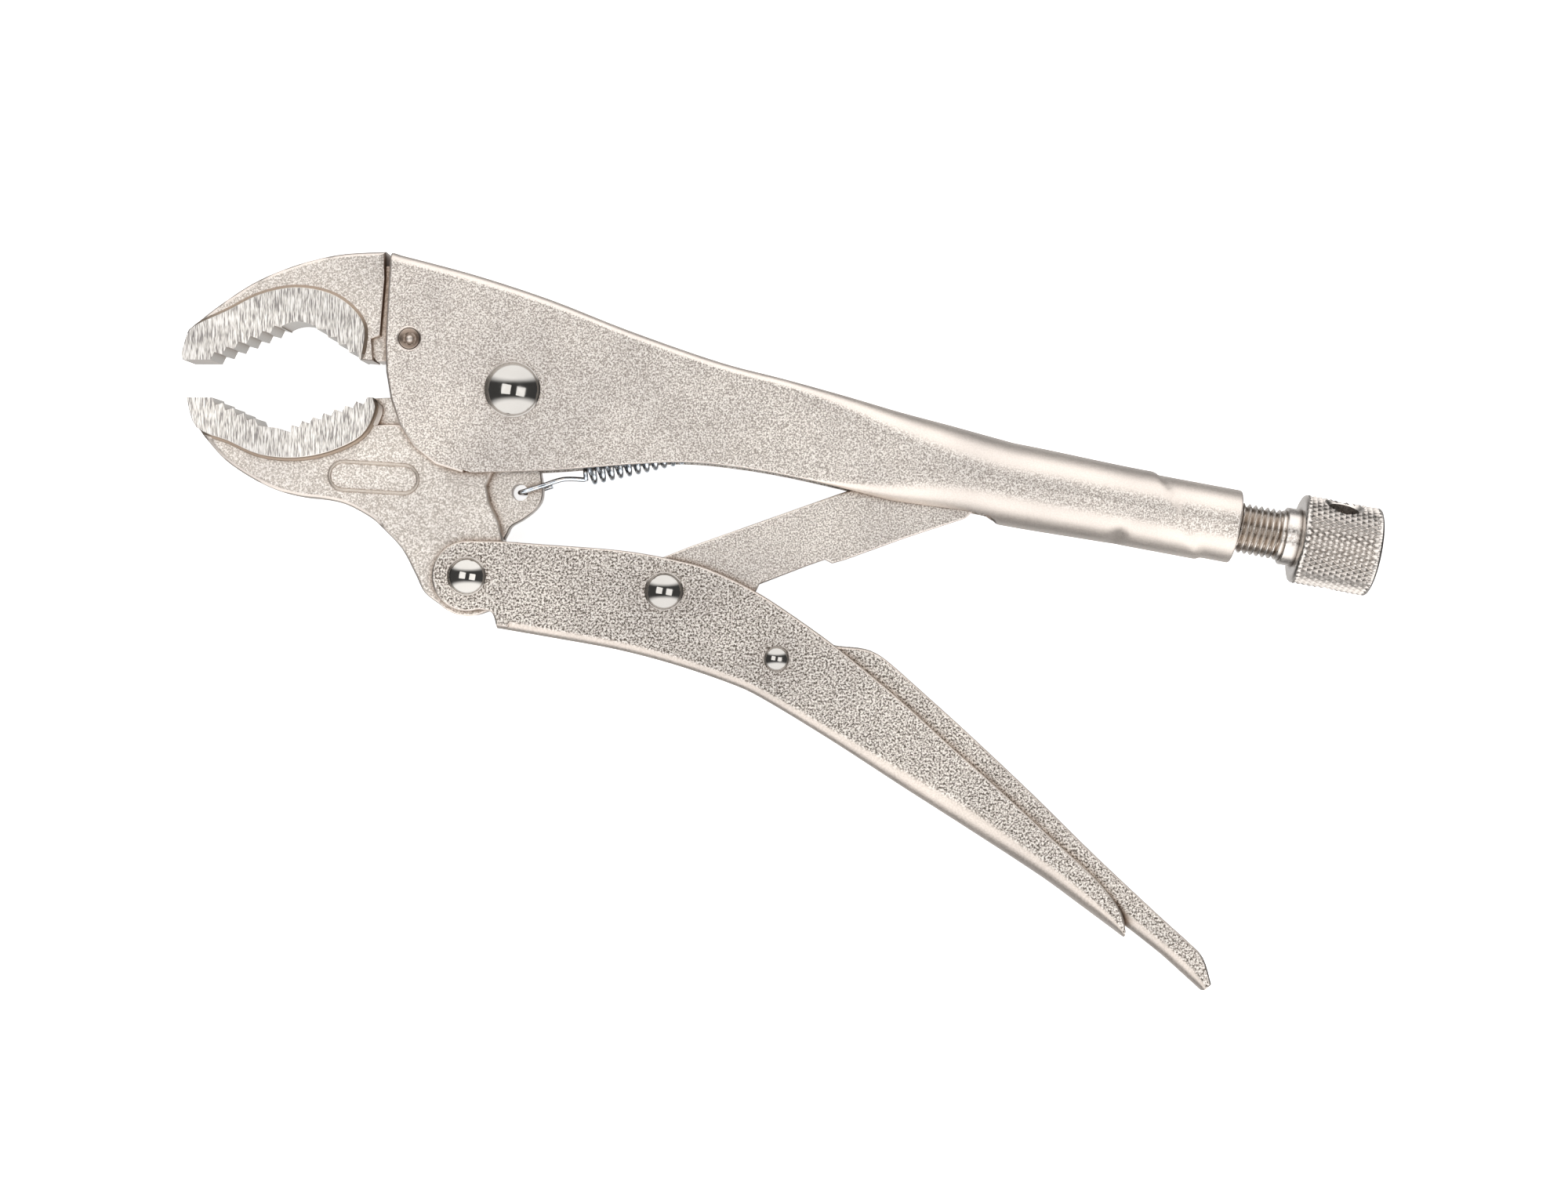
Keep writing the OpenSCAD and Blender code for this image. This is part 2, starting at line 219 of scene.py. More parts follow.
def combine(base, tool, operation):
    """Joins or cuts base with tool, which is used up, and stops the script if nothing changed."""
    before = solid_size(base)
    solid_size(tool)
    step = base.modifiers.new(operation, "BOOLEAN")
    step.operation = operation
    step.solver = "MANIFOLD"
    step.object = tool
    bpy.context.view_layer.objects.active = base
    bpy.ops.object.modifier_apply(modifier=step.name)
    change = solid_size(base) - before
    if (change if operation == "UNION" else -change) < LEAST_CHANGE:
        raise RuntimeError(f"{base.name}: {operation} with {tool.name} changed {change:.3g} m3")
    bpy.data.objects.remove(tool)
    return base


def join(base, *tools):
    for tool in tools:
        combine(base, tool, "UNION")
    return base


def cut(base, *tools):
    for tool in tools:
        combine(base, tool, "DIFFERENCE")
    return base


def edge_ring(outline, z, inset):
    """The closed outline at height z, moved inwards by inset, one distance for each point."""
    n = len(outline)
    out = []
    for i in range(n):
        a = (outline[i] - outline[i - 1]).normalized()
        b = (outline[(i + 1) % n] - outline[i]).normalized()
        v = a + b
        side = Vector((-v.y, v.x)).normalized() if v.length > 1e-6 else Vector((-a.y, a.x))
        stretch = 1 / max(side.dot(Vector((-a.y, a.x))), 0.5)
        p = outline[i] + side * inset[i] * stretch
        out.append((p.x, p.y, z))
    return out


def area(outline):
    n = len(outline)
    return sum(outline[i].cross(outline[(i + 1) % n]) for i in range(n)) / 2


def plate(name, outline, half, rim=0.25, steps=3):
    """A plate with rounded edges. rim is one radius, or one for each point of the outline."""
    line = []
    sizes = []
    for i, p in enumerate(outline):
        if not line or (Vector(p) - line[-1]).length > 1e-4:
            line.append(Vector(p))
            sizes.append(rim[i] if isinstance(rim, list) else rim)
    if (line[0] - line[-1]).length < 1e-4:
        line.pop()
        sizes.pop()
    if area(line) < 0:
        line.reverse()
        sizes.reverse()
    turns = [math.pi / 2 * k / steps for k in range(steps + 1)]
    rows = []
    for sign in (-1, 1):
        order = list(reversed(turns)) if sign < 0 else turns
        for turn in order:
            z = sign * (half - max(sizes) * (1 - math.sin(turn)))
            rows.append(edge_ring(line, z, [r * (1 - math.cos(turn)) for r in sizes]))
    return rings(name, rows)


def pin(name, p, r, low, high, sides=64):
    loops = []
    for z in (low, high):
        turn = [2 * math.pi * k / sides for k in range(sides)]
        loops.append([(p[0] + r * math.cos(a), p[1] + r * math.sin(a), z) for a in turn])
    return rings(name, loops)


def lathe(name, profile, to_point, sides=96):
    """A solid turned from (distance along, radius) pairs; to_point places (along, radius, turn)."""
    loops = []
    for t, r in profile:
        loops.append([to_point(t, r, 2 * math.pi * k / sides) for k in range(sides)])
    return rings(name, loops)


def about_z(p):
    return lambda t, r, a: (p[0] + r * math.cos(a), p[1] + r * math.sin(a), t)


def about_screw(t, r, a):
    """Turn 0 points to +Z and a quarter turn points above the axis, in the plane."""
    p = on_screw(t, r * math.sin(a))
    return (p.x, p.y, r * math.cos(a))


def finish_piece(obj, material, node, body, angle=35):
    """Shades a piece, gives it its material, ties it to its body and hides the CAD node it replaces."""
    for p in obj.data.polygons:
        p.use_smooth = True
    obj.data.set_sharp_from_angle(angle=math.radians(angle))
    flats = obj.modifiers.new("flat faces", "WEIGHTED_NORMAL")
    flats.keep_sharp = True
    obj.data.materials.clear()
    obj.data.materials.append(material)
    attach(obj, body)
    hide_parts(node)
    return obj


# ---- folded sheet: lofted from columns that run from a bottom point to a top point ----

def section(column, half, top, bottom, arc_steps=7, wall_steps=9):
    """One closed section. top and bottom are each (height, depth) of the rounding there."""
    length = sum((column[i + 1] - column[i]).length for i in range(len(column) - 1))
    top, bottom = ((min(e[0], length / 2 - 0.05), min(e[1], half - 0.05)) for e in (top, bottom))

    def at(d, z):
        p = along(column, min(max(d / length, 0), 1))
        return (p.x, p.y, z)

    quarter = [math.pi / 2 * k / arc_steps for k in range(arc_steps + 1)]
    side = [at(0, (half - bottom[1]) * k / 2) for k in range(2)]
    side += [at(bottom[0] * (1 - math.cos(a)), half - bottom[1] * (1 - math.sin(a))) for a in quarter]
    low, high = bottom[0], length - top[0]
    side += [at(low + (high - low) * k / wall_steps, half) for k in range(1, wall_steps)]
    side += [at(length - top[0] * (1 - math.sin(a)), half - top[1] * (1 - math.cos(a))) for a in quarter]
    side += [at(length, (half - top[1]) * (1 - k / 2)) for k in range(1, 3)]
    other = [(p[0], p[1], -p[2]) for p in reversed(side[1:-1])]
    return side + other


BODY_TOP = [(-24.9, 28.1), (-8.6, 23.8), (7.4, 18.6), (23.4, 12.3), (42, 5.8), (55, 2.4),
            (68.2, -1.2), (79.4, -4.4), (90, -7.1), on_screw(-48, TUBE_R)]
BODY_BOTTOM = [(-10.2, -17.0), (7.4, -16.5), (23.4, -15.3), (34.6, -14.8), (44.2, -15.6),
               (55.4, -17.4), (68.2, -20.3), (77.8, -22.8), (90, -25.4), on_screw(-48, -TUBE_R)]
BODY_FRONT = [(-10.2, -17.0), (-16.6, -14.9), (-22, -9.4), (-24.9, -2), (-26, 6),
              (-25.7, 15.5), (-24.9, 28.1)]
FRONT_RIM = 0.6
COLUMN_STEPS = 16
BEND_R = 2.2
LIP_R = 0.3
SLEEVE_RIM = 0.45
ROLL_FROM = 58
ROLL_TO = 97
FOLD_STEPS = 60

# Pressed marks near the tube's end: the slanted step, and the crimp behind it.
STEP_AT = -18.2
STEP_SLANT = 6.5
STEP_DEPTH = 0.5
CRIMP_AT = -23.9
CRIMP_TURN = math.radians(62)


def body_column(f, inset=0.0):
    """The column at the fraction f of the folded part, which bulges like the front edge near it."""
    top, bottom = smooth(BODY_TOP), smooth(BODY_BOTTOM)
    front = beside(smooth(BODY_FRONT), -inset)
    a, b = along(bottom, f), along(top, f)
    fade = 1 - ease(f, 0, 0.3)
    out = []
    for k in range(COLUMN_STEPS + 1):
        v = k / COLUMN_STEPS
        straight = a.lerp(b, v)
        bulge = along(front, v) - front[0].lerp(front[-1], v)
        shift = (front[0].lerp(front[-1], v) - along(bottom, 0).lerp(along(top, 0), v)) * (f == 0)
        out.append(straight + bulge * fade + shift)
    return out


def tube_radius(s):
    """Outer radius of the rolled tube at s along the screw's axis."""
    if s < -20:
        return TUBE_R + (SLEEVE_R - TUBE_R) * ease(s, -48, -20)
    return SLEEVE_R


def swage(point):
    """Presses the slanted step and the crimp at the tube's end into a point of the tube."""
    flat = Vector((point[0], point[1])) - Vector(SCREW_START)
    axis = Vector((math.cos(SCREW_ANGLE), math.sin(SCREW_ANGLE)))
    s = flat.dot(axis)
    up = flat.dot(Vector((-axis.y, axis.x)))
    turn = math.atan2(up, abs(point[2]))
    r = math.hypot(up, point[2])
    if s < -40 or r < 1:
        return point
    edge = STEP_AT + STEP_SLANT * (1 - math.sin(turn)) * 0.9
    press = STEP_DEPTH * ease(s, edge - 0.6, edge + 0.6)
    dent = math.exp(-((s - CRIMP_AT) / 1.6) ** 2 - ((turn + CRIMP_TURN) / 0.3) ** 2)
    new = (r - press - dent) / r
    p = on_screw(s, up * new)
    return (p.x, p.y, point[2] * new)


def body_outer():
    loops = []
    for k in range(5):
        turn = math.pi / 2 * k / 4
        column = body_column(0, FRONT_RIM * (1 - math.cos(turn)))
        loops.append(section(column, BODY_HALF - FRONT_RIM * (1 - math.sin(turn)), (BEND_R, BEND_R),
                             (LIP_R, LIP_R)))
    for i in range(1, FOLD_STEPS + 1):
        f = i / FOLD_STEPS
        column = body_column(f)
        roll = ease(column[0].x, ROLL_FROM, ROLL_TO)
        half = BODY_HALF + (TUBE_R - BODY_HALF) * roll
        size = (column[-1] - column[0]).length / 2
        top = (BEND_R + (size - BEND_R) * roll, BEND_R + (half - BEND_R) * roll)
        bottom = (LIP_R + (size - LIP_R) * roll, LIP_R + (half - LIP_R) * roll)
        loops.append(section(column, half, top, bottom))
    stops = [-47 + 47 * k / 90 for k in range(1, 90)] + [-0.35, -0.12, 0]
    for s in stops:
        past = max(0, s + SLEEVE_RIM) / SLEEVE_RIM
        r = tube_radius(s) - SLEEVE_RIM * (1 - math.sqrt(max(0, 1 - past ** 2)))
        column = [on_screw(s, -r).lerp(on_screw(s, r), k / COLUMN_STEPS) for k in range(COLUMN_STEPS + 1)]
        loops.append([swage(p) for p in section(column, r, (r, r), (r, r))])
    return rings("fixed_handle_sheet", loops)


def body_hollow():
    """The space inside the folded body, open below at the front and closed in the tube."""
    loops = []
    top = beside(smooth(BODY_TOP), -BODY_SHEET)
    bottom = beside(smooth(BODY_BOTTOM), BODY_SHEET)
    ahead = (top[0] - top[4]).normalized() * 12
    top = [top[0] + ahead] + top
    bottom = [bottom[0] + Vector((-26, 0))] + bottom
    for i in range(FOLD_STEPS + 1):
        f = i / FOLD_STEPS
        a, b = along(bottom, f), along(top, f)
        open_below = 1 - ease(a.x, 56, 72)
        a = a + Vector((0, -9)) * open_below
        roll = ease(a.x, ROLL_FROM, ROLL_TO)
        half = CHANNEL_W / 2 + (TUBE_R - BODY_SHEET - CHANNEL_W / 2) * roll
        size = (b - a).length / 2
        edge = 0.4
        rim = (edge + (size - edge) * roll, edge + (half - edge) * roll)
        column = [a.lerp(b, k / 8) for k in range(9)]
        loops.append(section(column, half, rim, rim))
    for s in (-44, -40, -34, -28, -22, -SLEEVE_LEN):
        r = tube_radius(s) - BODY_SHEET
        column = [on_screw(s, -r).lerp(on_screw(s, r), k / 8) for k in range(9)]
        loops.append(section(column, r, (r, r), (r, r)))
    return rings("hollow", loops)


def body_slot():
    """The gap between the two lips under the body, as wide as the link needs, closed by the tube."""
    loops = []
    for x, w in ((50, 4.45), (70, 4.45), (90, 4.45), (97.4, 4.45), (98.8, 3.2), (99.6, 0.5)):
        mid = along(smooth(BODY_BOTTOM), min(max((x + 10.2) / 110, 0), 1))
        loops.append([(x, mid.y + 5, w), (x, mid.y + 5, -w), (x, mid.y - 9, -w), (x, mid.y - 9, w)])
    return rings("slot", loops)


def spring_tab():
    """The tab lanced out of the spine, which the spring's rear hook goes through."""
    outline = [(46.6, 3.5), (47, -8), (48.4, -11.6), (51.6, -11.6), (53, -8), (53.4, 2)]
    tab = plate("tab", outline, 1.0, 0.2)
    return cut(tab, pin("tab_cut", TAB_HOLE, 1.2, -3, 3, 24))


def plug_cutter(name, side):
    loops = []
    flare = ((3.5, 0), (5.9, 0), (6.45, 0.12), (6.66, 0.4), (7.4, 1.4))
    for z, wider in flare:
        r = PLUG_R + wider
        loops.append([(x, y, z * side) for x, y, z in about_ring(PLUG, r, z)])
    return rings(name, loops)


def about_ring(p, r, z, sides=48):
    turn = [2 * math.pi * k / sides for k in range(sides)]
    return [(p[0] + r * math.cos(a), p[1] + r * math.sin(a), z) for a in turn]


def fixed_handle():
    body = cut(body_outer(), body_hollow(), body_slot())
    body = join(body, spring_tab())
    bore = lathe("bore", [(-SLEEVE_LEN - 3, SCREW_R + TURN_GAP), (2, SCREW_R + TURN_GAP)], about_screw)
    body = cut(body, bore, pin("shank", (0, 0), MAIN_RIVET[0], -THROUGH, THROUGH))
    body = cut(body, plug_cutter("plug_a", 1), plug_cutter("plug_b", -1))
    return finish_piece(body, SHEET, "fixed_handle", "fixed")


# ---- jaws ----

UPPER_TIP = [(-61.7, 6.1), (-67.4, 6.1)]
UPPER_BACK = smooth([(-67.6, 7.5), (-66.6, 11.0), (-64.6, 13.8), (-59.8, 17.6), (-53.4, 21.8),
                     (-47, 24.7), (-40.6, 26.7), (-34.2, 27.9), (-26, 28.3)])
UPPER_SEAM = [(-26.0, 22.7), (-26.6, 15.5), (-27, 10.9), (-28.9, 10.4), (-28.6, 5.9), (-31.0, 6.1)]
UPPER_BITE = (teeth((-31.3, 6.1), (-39.8, 12.2), 4) + [Vector((-39.8, 12.2)), Vector((-40.4, 13.2))]
              + arc((-43.8, 7.6), 6.3, 60, 120, 6) + [Vector((-47.2, 12.8))]
              + teeth((-47.0, 12.6), (-61.7, 6.1), 6))
UPPER_PAD = smooth([(-67.6, 7.5), (-66.6, 11.0), (-64.9, 13.1), (-58.2, 16.2), (-51.8, 19.4),
                    (-44.5, 20.9), (-37.4, 19.7), (-32.6, 16.5), (-30.2, 12.3), (-31.0, 6.1)])
LOWER_TIP = [(-66.6, -1.6), (-61.4, -1.6)]
LOWER_BACK = smooth([(-27, -28.2), (-29.4, -26.1), (-34.2, -23.5), (-38.8, -22.4), (-43.9, -21.8),
                     (-48.9, -20.4), (-54.0, -17.9), (-59.1, -14.4), (-62.6, -10.6),
                     (-64.6, -7.7), (-66.6, -1.6)])
LOWER_BITE = (teeth((-61.4, -1.7), (-50.5, -6.9), 5) + [Vector((-50.4, -7.6)), Vector((-48.2, -7.8))]
              + [Vector((-46.6, -8.4)), Vector((-45.3, -8.8))]
              + teeth((-45.2, -7.2), (-29.7, -1.6), 7) + [Vector((-29.7, -1.6))])
LOWER_PAD = smooth([(-28.6, -1.6), (-28.2, -4.4), (-31.0, -9.4), (-37.4, -12.6), (-44.5, -13.9),
                    (-51.8, -13.2), (-58.2, -10.4), (-64.6, -7.7), (-66.6, -1.6)])


def vectors(points):
    return [Vector(p) for p in points]


def grip(name, back, rest, flank_half, grow, outline):
    """A ground grip: its back edge flares into the forged flank below it, its teeth stay sharp."""
    fixed = outline + [back[0], back[-1]]
    room = [0.6 * min((p - q).length for q in fixed) for p in back]
    levels = [(-GRIP_HALF, -0.12), (-GRIP_HALF + 0.12, 0.0), (-flank_half - 0.45, 0.1),
              (-flank_half - 0.12, 0.45), (-flank_half + 0.3, grow)]
    levels += [(-z, d) for z, d in reversed(levels)]
    loops = []
    for z, d in levels:
        moved = beside(back, 1)
        line = [p + (q - p) * max(-gap, min(d, gap)) for p, q, gap in zip(back, moved, room)]
        loops.append([(p.x, p.y, z) for p in line + vectors(rest)])
    return rings(name, loops)


CARTOUCHE_AT = (-28.7, -17.9)
CARTOUCHE_SIZE = (18.2, 5.8)
CARTOUCHE_RIM = 0.72
CARTOUCHE_RISE = 0.32


def cartouche(centre, length, height, tilt, half):
    """A raised stadium-shaped border on the jaw's flank, with nothing in it."""
    r = height / 2
    straight = length / 2 - r
    path = arc((straight, 0), r, -90, 90, 14) + arc((-straight, 0), r, 90, 270, 14)
    c, q = math.cos(math.radians(tilt)), math.sin(math.radians(tilt))
    loops = []
    n = len(path)
    for i, p in enumerate(path):
        t = (path[(i + 1) % n] - path[i - 1]).normalized()
        out = Vector((t.y, -t.x))
        ring = []
        for k in range(8):
            a = 2 * math.pi * k / 8
            v = p + out * CARTOUCHE_RIM / 2 * math.cos(a)
            x = centre[0] + v.x * c - v.y * q
            y = centre[1] + v.x * q + v.y * c
            ring.append((x, y, half + CARTOUCHE_RISE * math.sin(a)))
        loops.append(ring)
    points = [p for loop in loops for p in loop]
    faces = [(i * 8 + k, i * 8 + (k + 1) % 8, (i + 1) % n * 8 + (k + 1) % 8, (i + 1) % n * 8 + k)
             for i in range(n) for k in range(8)]
    return make("cartouche", points, faces)


def fixed_jaw():
    outline = vectors(UPPER_TIP) + UPPER_BACK + vectors(UPPER_SEAM) + UPPER_BITE
    count = [len(UPPER_TIP), len(UPPER_BACK), len(UPPER_SEAM), len(UPPER_BITE)]
    rim = [0.15] * count[0] + [1.0] * count[1] + [0.7] * 3 + [0.2] * (count[2] - 3) + [0.1] * count[3]
    jaw = plate("fixed_jaw_forging", outline, HEAD_HALF, rim)
    jaw = join(jaw, grip("grip", UPPER_PAD, UPPER_BITE + vectors(UPPER_TIP), HEAD_HALF, 1.0,
                         UPPER_BACK + vectors(UPPER_TIP)))
    tang = [(-36, 24), (-25.6, 25.4), (-12, 21.9), (-9, 20.2), (-9, 13), (-13, 9.6), (-20, 6),
            (-28, 5.9), (-36, 14)]
    jaw = join(jaw, plate("tang", tang, TANG_HALF, 0.2))
    return finish_piece(jaw, FORGED, "fixed_jaw", "fixed", 30)


def moving_jaw():
    at = pivot("handle_pivot")
    arm = [(-28, -6.9), (-20.5, -6.9), (-6.6, 6.4), (0, 9.1), (8.4, -3.6), (6, -9), (-4.4, -17),
           (-5.5, -19.6), (-4.9, -22.9), (-3.0, -27), (-1.6, -33.4), (-2.4, -42)]
    arm += smooth([(-15.2, -44.0), (-18.4, -41.4), (-20.2, -37.8), (-23.0, -32.5), (-27, -28.2)])
    flank = vectors(arm) + LOWER_BACK[1:] + vectors(LOWER_TIP) + LOWER_BITE + [Vector((-28.5, -1.6))]
    rim = [0.5] * len(arm) + [1.1] * (len(LOWER_BACK) - 1)
    rim += [0.1] * (len(flank) - len(rim))
    jaw = plate("moving_jaw_forging", flank, ARM_HALF, rim)
    jaw = join(jaw, grip("grip", LOWER_PAD, vectors(LOWER_TIP) + LOWER_BITE, ARM_HALF, 1.3,
                         LOWER_BACK + vectors(LOWER_TIP)))
    jaw = join(jaw, plate("boss", arc((0, 0), 9.2, 0, 360, 72), ARM_HALF, 0.4))
    jaw = join(jaw, plate("eye", arc(at, 8.2, 0, 360, 64), ARM_HALF, 0.4))
    ear = [(-8, -14), (4.6, -13), (5.3, -16.6), (5.8, -19.7), (5.6, -22.4), (4.2, -24.5),
           (1.8, -26.4), (-0.6, -27.8), (-1.4, -29.2), (-3, -32), (-8, -30)]
    jaw = join(jaw, plate("ear", smooth(ear[1:9]) + vectors(ear[9:]) + [Vector(ear[0])], EAR_HALF, 0.4))
    neck = [(-29, -1.6), (-19, -1.2), (-6.6, 6.4), (0, 0), (-20, -10), (-29, -9)]
    jaw = join(jaw, plate("neck", neck, NECK_HALF, 0.2))
    for side in (1, -1):
        jaw = join(jaw, cartouche(CARTOUCHE_AT, *CARTOUCHE_SIZE, -3.5, ARM_HALF * side))
    jaw = cut(jaw, pin("pivot_cut", (0, 0), MAIN_RIVET[0] + TURN_GAP, -THROUGH, THROUGH),
              pin("handle_cut", at, HANDLE_RIVET[0] + TURN_GAP, -THROUGH, THROUGH),
              pin("ear_cut", EAR_HOLE, 1.7, -THROUGH, THROUGH, 40))
    return finish_piece(jaw, FORGED, "moving_jaw", "jaw", 30)


# ---- lower handle, toggle link and release lever ----

HANDLE_BOTTOM = [(-3.4, -48.8), (8.7, -50.9), (21.2, -53.2), (33, -56.3), (45.0, -60.4), (51.4, -63.5),
                 (65, -71.8), (80, -81.6), (94, -90.6), (108.2, -99.9), (116, -105.6), (124.9, -112.2)]
HANDLE_TOP = [(-3.4, -30.95), (7.4, -31.7), (23.4, -33.0), (36.2, -35.5), (42.6, -37.8), (49.0, -41.0),
              (55.4, -45.0), (66.3, -52.8), (79.1, -63.4), (88.7, -72.2), (99.8, -82.1),
              (109.8, -91.4), (119.4, -100.3), (124.2, -106.6), (125.2, -110.6)]


def channel(name, bottom, top, half, bottom_rim, top_rim, count=80):
    """A solid between two lines; the rims are functions of the fraction along them."""
    loops = []
    for i in range(count + 1):
        f = i / count
        a, b = along(bottom, f), along(top, f)
        column = [a.lerp(b, k / 8) for k in range(9)]
        size = (b - a).length
        low, high = bottom_rim(f), top_rim(f)
        low = (min(low[0], size * 0.6), min(low[1], half * 0.999))
        high = (min(high[0], size * 0.3), high[1])
        loops.append(section(column, half, high, low))
    return rings(name, loops)


def moving_handle():
    bottom, top = smooth(HANDLE_BOTTOM), smooth(HANDLE_TOP)
    spine = lambda f: (2.4 + 4.4 * ease(f, 0.35, 0.9), 2.6 + 3.5 * ease(f, 0.35, 0.9))
    lip = lambda f: (0.55, 0.5)
    handle = channel("moving_handle_sheet", bottom, top, HANDLE_HALF, spine, lip)
    floor = beside(bottom, HANDLE_SHEET)
    floor = [floor[0] + Vector((-8, 1.4))] + floor + [floor[-1] + Vector((9, -7))]
    roof = beside(top, 9)
    roof = [roof[0] + Vector((-8, 0))] + roof + [roof[-1] + Vector((9, 6))]
    inner = lambda f: (1.0 + 2.4 * ease(f, 0.35, 0.9), 1.0 + 2.2 * ease(f, 0.35, 0.9))
    handle = cut(handle, channel("room", floor, roof, CHANNEL_W / 2, inner, lip, 60))
    at = pivot("handle_pivot")
    ear = arc(at, 7.2, 90, 288, 30) + smooth([(-5.6, -45.1), (-4.4, -45.5), (-3.8, -46.6), (-3.4, -48.2)])
    ear += vectors([(-1, -48.6), (1, -44), (1, -34), (1, -31.2), (-3.4, -30.98)])
    for side in (1, -1):
        side_plate = plate("ear", ear, HANDLE_SHEET / 2, 0.45)
        middle = side * (CHANNEL_W + HANDLE_SHEET) / 2 * MM
        side_plate.data.transform(Matrix.Translation((0, 0, middle)))
        handle = join(handle, side_plate)
    for joint, r in (("handle_pivot", HANDLE_RIVET[0]), ("link_pivot", HANDLE_RIVET[0]),
                     ("lever_pivot", LEVER_RIVET[0])):
        handle = cut(handle, pin("rivet_cut", pivot(joint), r, -THROUGH, THROUGH, 48))
    return finish_piece(handle, COARSE_SHEET, "moving_handle", "handle")


def toggle_link():
    foot, end = pivot("link_pivot"), (99.1, -18.6)
    outline = arc(foot, 6.6, 110, 285, 20)
    outline += vectors([(44, -43.8), (49.3, -41.9), (50.3, -39.8), (60.2, -36.0), (63.9, -34.7),
                        (65.4, -35.5), (68.2, -34.7), (81.0, -30.1), (92.6, -26.3), (97.2, -22.1)])
    outline += arc(end, 3.9, -80, 100, 16)
    outline += smooth([(84, -15.2), (76, -18.0), (62, -22.9), (49, -27.5), (36.2, -32.0)])
    link = plate("toggle_link_bar", outline, ARM_HALF, 0.4)
    link = cut(link, pin("rivet_cut", foot, HANDLE_RIVET[0] + TURN_GAP, -THROUGH, THROUGH, 48))
    return finish_piece(link, SHEET, "toggle_link", "link", 30)


LEVER_FLOOR = beside(smooth([(51.4, -63.5), (65, -71.8), (80, -81.6), (94, -90.6), (108.2, -99.9),
                             (116, -105.6), (124.9, -112.2), (132, -117.8)]), HANDLE_SHEET + 0.25)
LEVER_BOTTOM = vectors([(43, -52.6), (48, -58.4)]) + LEVER_FLOOR + [Vector((141.2, -123.4))]
LEVER_TOP = [Vector((44, -48.9)), Vector((47, -48.9))] + smooth(
    [(53, -49.7), (60, -51.2), (66.3, -52.5), (71.4, -53.0), (74.6, -54.1), (77.8, -56.5), (84.2, -62.2),
     (93.8, -70.9), (106.6, -83.0), (119.4, -95.6), (132.2, -107.6), (138.6, -113.4), (141.4, -116.5),
     (143.0, -121.8)])


def release_lever():
    under = lambda f: (4.0, LEVER_HALF)
    lip = lambda f: (0.55, 0.5)
    lever = channel("release_lever_sheet", LEVER_BOTTOM, LEVER_TOP, LEVER_HALF, under, lip, 90)
    floor = beside(LEVER_BOTTOM, LEVER_SHEET)
    floor = [floor[0] + Vector((-5, 4))] + floor[1:] + [floor[-1] + Vector((8, -6))]
    roof = [p + Vector((2.5, 7)) for p in LEVER_TOP]
    roof = [roof[0] + Vector((-8, 0))] + roof + [roof[-1] + Vector((10, 0))]
    inner = lambda f: (2.0, LEVER_HALF - LEVER_SHEET)
    lever = cut(lever, channel("room", floor, roof, LEVER_HALF - LEVER_SHEET, inner, lip, 60))
    hole = LEVER_RIVET[0] + TURN_GAP
    lever = cut(lever, pin("rivet_cut", pivot("lever_pivot"), hole, -THROUGH, THROUGH, 40))
    return finish_piece(lever, COARSE_SHEET, "release_lever", "lever")


# ---- rivets and weld plugs ----

def rivet(node, body, at, half, size):
    shank, height, radius = size
    ball = (radius ** 2 + height ** 2) / (2 * height)
    dome = []
    for k in range(25):
        a = math.asin(radius / ball) * (1 - k / 24)
        dome.append((half + height - ball + ball * math.cos(a), max(ball * math.sin(a), 0.004)))
    side = [(half, shank), (half, radius - 0.12), (half + 0.1, radius)] + dome[1:]
    profile = [(-t, r) for t, r in reversed(side)] + side
    piece = lathe(node + "_dome", profile, about_z(at), 80)
    return finish_piece(piece, POLISHED, node, body, 40)


def weld_plugs():
    """Sunk plug welds: a dark ring around a small raised middle."""
    face = BODY_HALF - 0.1
    profile = [(CHANNEL_W / 2, 0.004), (CHANNEL_W / 2, PLUG_R), (face - 0.05, PLUG_R), (face - 0.2, 1.85),
               (face - 0.75, 1.45), (face - 0.85, 1.1), (face - 0.6, 0.75), (face - 0.3, 0.4),
               (face - 0.25, 0.004)]
    plugs = lathe("jaw_weld_plug_pair", profile, about_z(PLUG), 48)
    plugs = join(plugs, lathe("other", [(-t, r) for t, r in profile], about_z(PLUG), 48))
    finish_piece(plugs, WELD, "jaw_weld_plugs", "fixed", 60)
    plugs.data.materials.append(FORGED)
    for side in plugs.data.polygons:
        c = (side.center - MAIN) / MM
        if (Vector((c.x, c.y)) - Vector(PLUG)).length < 0.7:
            side.material_index = 1


# ---- adjusting screw and knob ----

def thread_depth(s, turn):
    """How far the surface lies under the thread's outer radius."""
    phase = (s / THREAD_PITCH - turn / (2 * math.pi)) % 1
    wave = abs(2 * phase - 1)
    return THREAD_DEPTH * min(max((wave - 0.12) / 0.76, 0), 1)


def adjusting_screw():
    sides, per_pitch = 48, 8
    count = int((SHANK_END - SCREW_TIP) / THREAD_PITCH * per_pitch)
    loops = []
    for i in range(count + 1):
        s = SCREW_TIP + (SHANK_END - SCREW_TIP) * i / count
        taper = 1.2 - min(s - SCREW_TIP, 1.2)
        fade = 1 - ease(s, NECK_FRONT - 1.3, NECK_FRONT - 0.5)
        turns = [2 * math.pi * k / sides for k in range(sides)]
        loops.append([about_screw(s, SCREW_R - taper - thread_depth(s, a) * fade, a) for a in turns])
    screw = rings("adjusting_screw_thread", loops)
    return finish_piece(screw, THREAD, "adjusting_screw", "screw", 50)


KNURL_COUNT = 44
KNURL_LEN = 2.3
KNURL_DEPTH = 0.55


